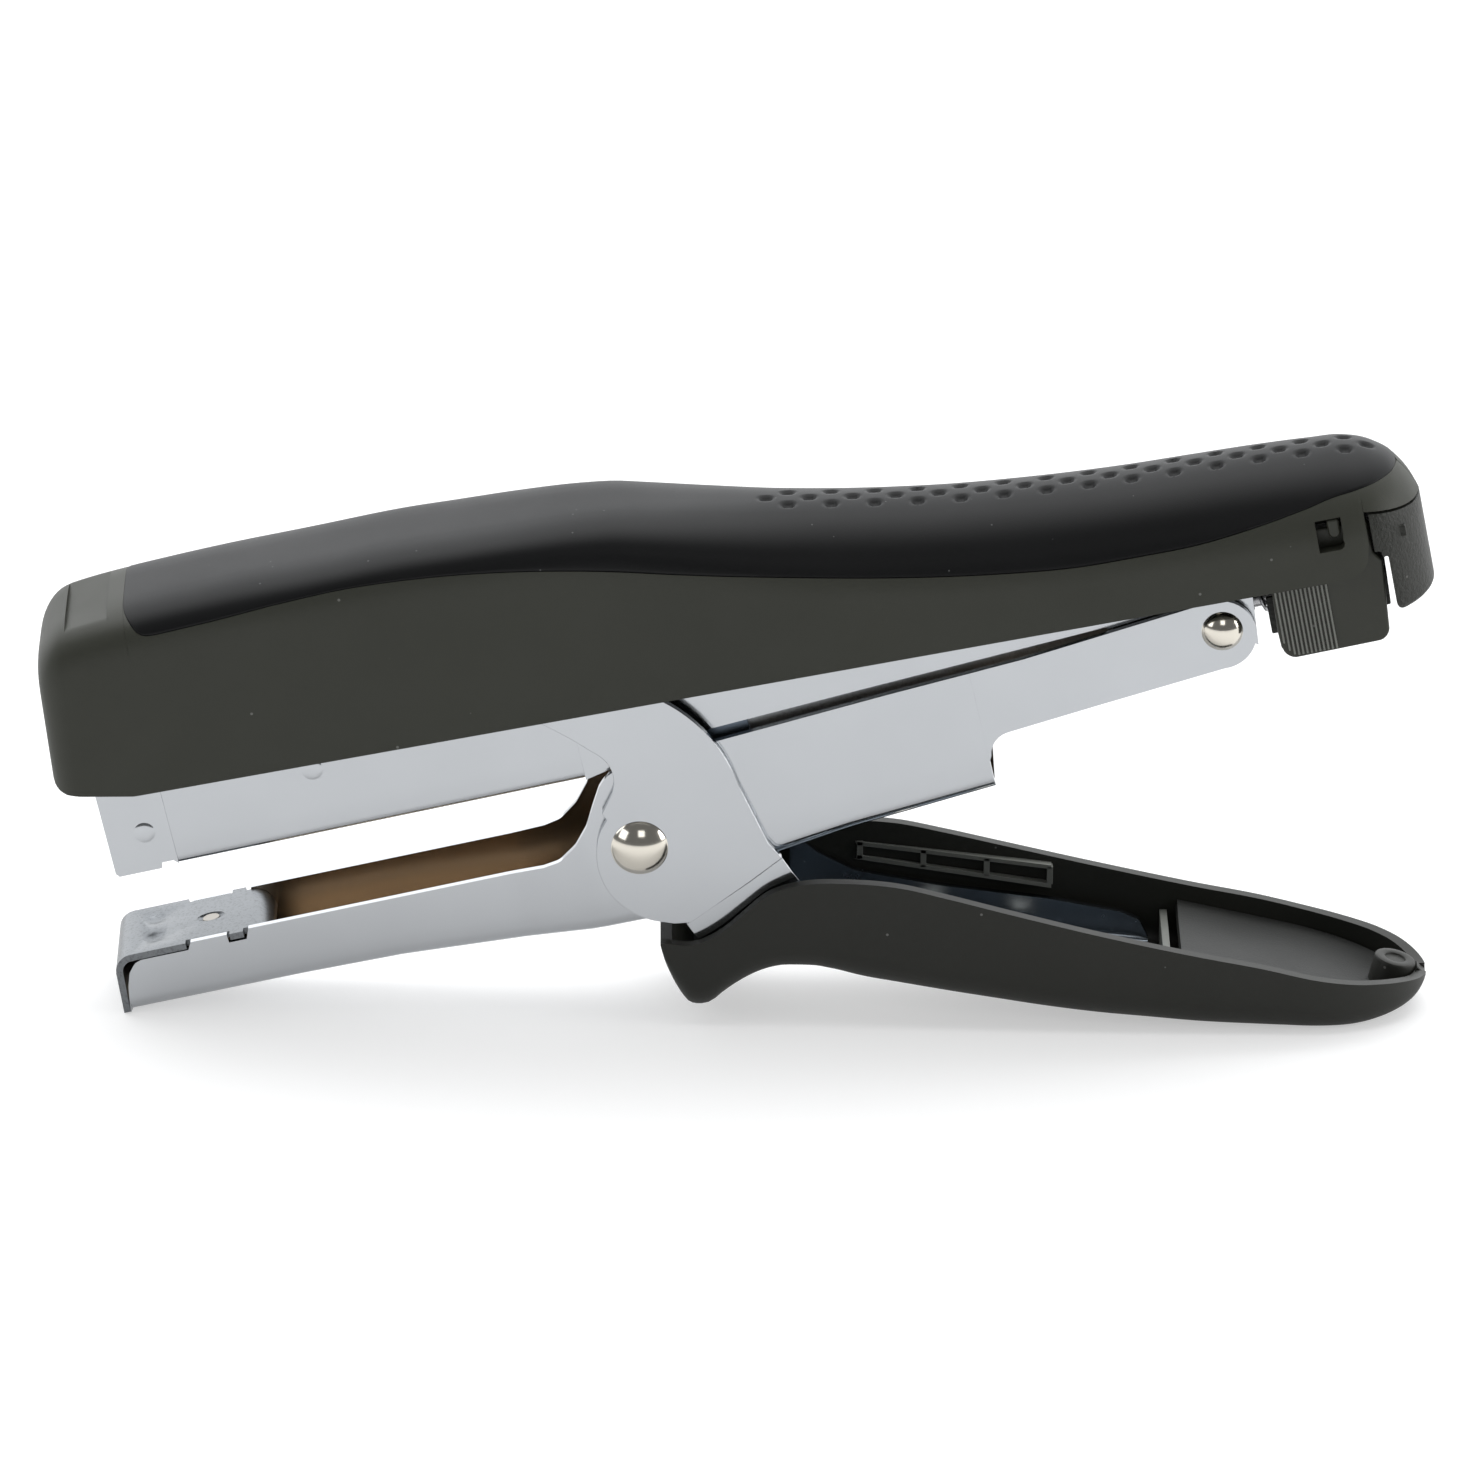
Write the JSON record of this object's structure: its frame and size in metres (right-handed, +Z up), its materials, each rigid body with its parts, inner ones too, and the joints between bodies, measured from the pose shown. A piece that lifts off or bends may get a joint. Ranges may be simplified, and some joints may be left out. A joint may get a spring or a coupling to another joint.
{
  "type": "plier stapler",
  "caption": "Hand-held plier stapler: a rubber-topped cover and magazine over a pivoting anvil arm, squeezed shut by a lower lever with a trough-shaped handle.",
  "frame": {"origin": "on the table under the middle of the overall box, as the open stapler lies on its anvil tip and its handle", "axes": "+X from the nose to the grips, +Y to the right-hand side seen from the nose, +Z up"},
  "size_m": [0.1881, 0.0254, 0.0814],
  "materials": {
    "cover_plastic": "satin moulded plastic, olive charcoal",
    "grip_rubber": "soft moulded rubber, black",
    "plug_plastic": "textured moulded plastic",
    "handle_plastic": "satin moulded plastic, olive charcoal",
    "chrome_plate": "bright plated sheet steel",
    "zinc_steel": "satin zinc plated steel",
    "blued_steel": "blued hardened steel",
    "nickel": "polished nickel plate",
    "spring_steel": "drawn spring wire",
    "staple_wire": "galvanised staple wire"
  },
  "bodies": {
    "upper": {"top_cover": "cover_plastic", "grip_insert": "grip_rubber", "upper_frame": "zinc_steel", "driver_blade": "blued_steel", "driver_rivets": "nickel", "cover_pivot_pin": "spring_steel", "frame_screws": "zinc_steel", "magazine_spring": "spring_steel"},
    "magazine": {"magazine_channel": "chrome_plate", "staple_rail": "blued_steel", "staple_strip": "staple_wire", "rear_rivets": "nickel"},
    "arm": {"anvil_arm": "chrome_plate", "anvil_cap": "zinc_steel", "anvil_rivet": "nickel", "centre_rivet": "nickel", "centre_spacer": "zinc_steel", "throat_spring": "spring_steel"},
    "lever": {"lower_lever": "chrome_plate", "lower_handle": "handle_plastic", "handle_rivets": "nickel", "drive_pin": "spring_steel", "drive_rollers": "nickel"},
    "plug": {"rear_plug": "plug_plastic", "guide_rod": "spring_steel"},
    "left_tab": {"left_release_tab": "plug_plastic"},
    "right_tab": {"right_release_tab": "plug_plastic"},
    "pusher": {"follower": "blued_steel", "pusher_spring": "spring_steel"}
  },
  "joints": [
    {"name": "magazine_pivot", "type": "hinge", "parent": "upper", "child": "magazine", "pos_m": [0.06262, 0, 0.06631], "axis": [0, 1, 0], "range_deg": [0, 3.5], "deforming": ["magazine_spring"]},
    {"name": "anvil_pivot", "type": "hinge", "parent": "magazine", "child": "arm", "pos_m": [0.0647, 0, 0.05735], "axis": [0, 1, 0], "range_deg": [0, 4.1], "deforming": ["throat_spring"]},
    {"name": "handle_pivot", "type": "hinge", "parent": "arm", "child": "lever", "pos_m": [-0.0131, 0, 0.02585], "axis": [0, -1, 0], "range_deg": [0, 27.6], "stiffness_Nm_per_rad": 0.6, "springref_deg": -45.84},
    {"name": "plug_slide", "type": "slide", "parent": "magazine", "child": "plug", "axis": [0.974, 0, 0.2267], "range_m": [0, 0.12]},
    {"name": "left_tab_squeeze", "type": "hinge", "parent": "plug", "child": "left_tab", "pos_m": [0.08549, -0.0086, 0.06558], "axis": [0.1959, 0, -0.9806], "range_deg": [0, 5.5], "stiffness_Nm_per_rad": 0.2, "springref_deg": -2.86},
    {"name": "right_tab_squeeze", "type": "hinge", "parent": "plug", "child": "right_tab", "pos_m": [0.08549, 0.0086, 0.06558], "axis": [-0.1959, 0, 0.9806], "range_deg": [0, 5.5], "stiffness_Nm_per_rad": 0.2, "springref_deg": -2.86},
    {"name": "follower_slide", "type": "slide", "parent": "plug", "child": "pusher", "axis": [0.974, 0, 0.2267], "range_m": [0, 0.045], "stiffness_N_per_m": 60, "springref_m": -0.03, "deforming": ["pusher_spring"]}
  ],
  "couplings": [
    {"joint": "anvil_pivot", "follows": "handle_pivot", "ratio": 0.14855},
    {"joint": "magazine_pivot", "follows": "handle_pivot", "ratio": 0.12681}
  ]
}
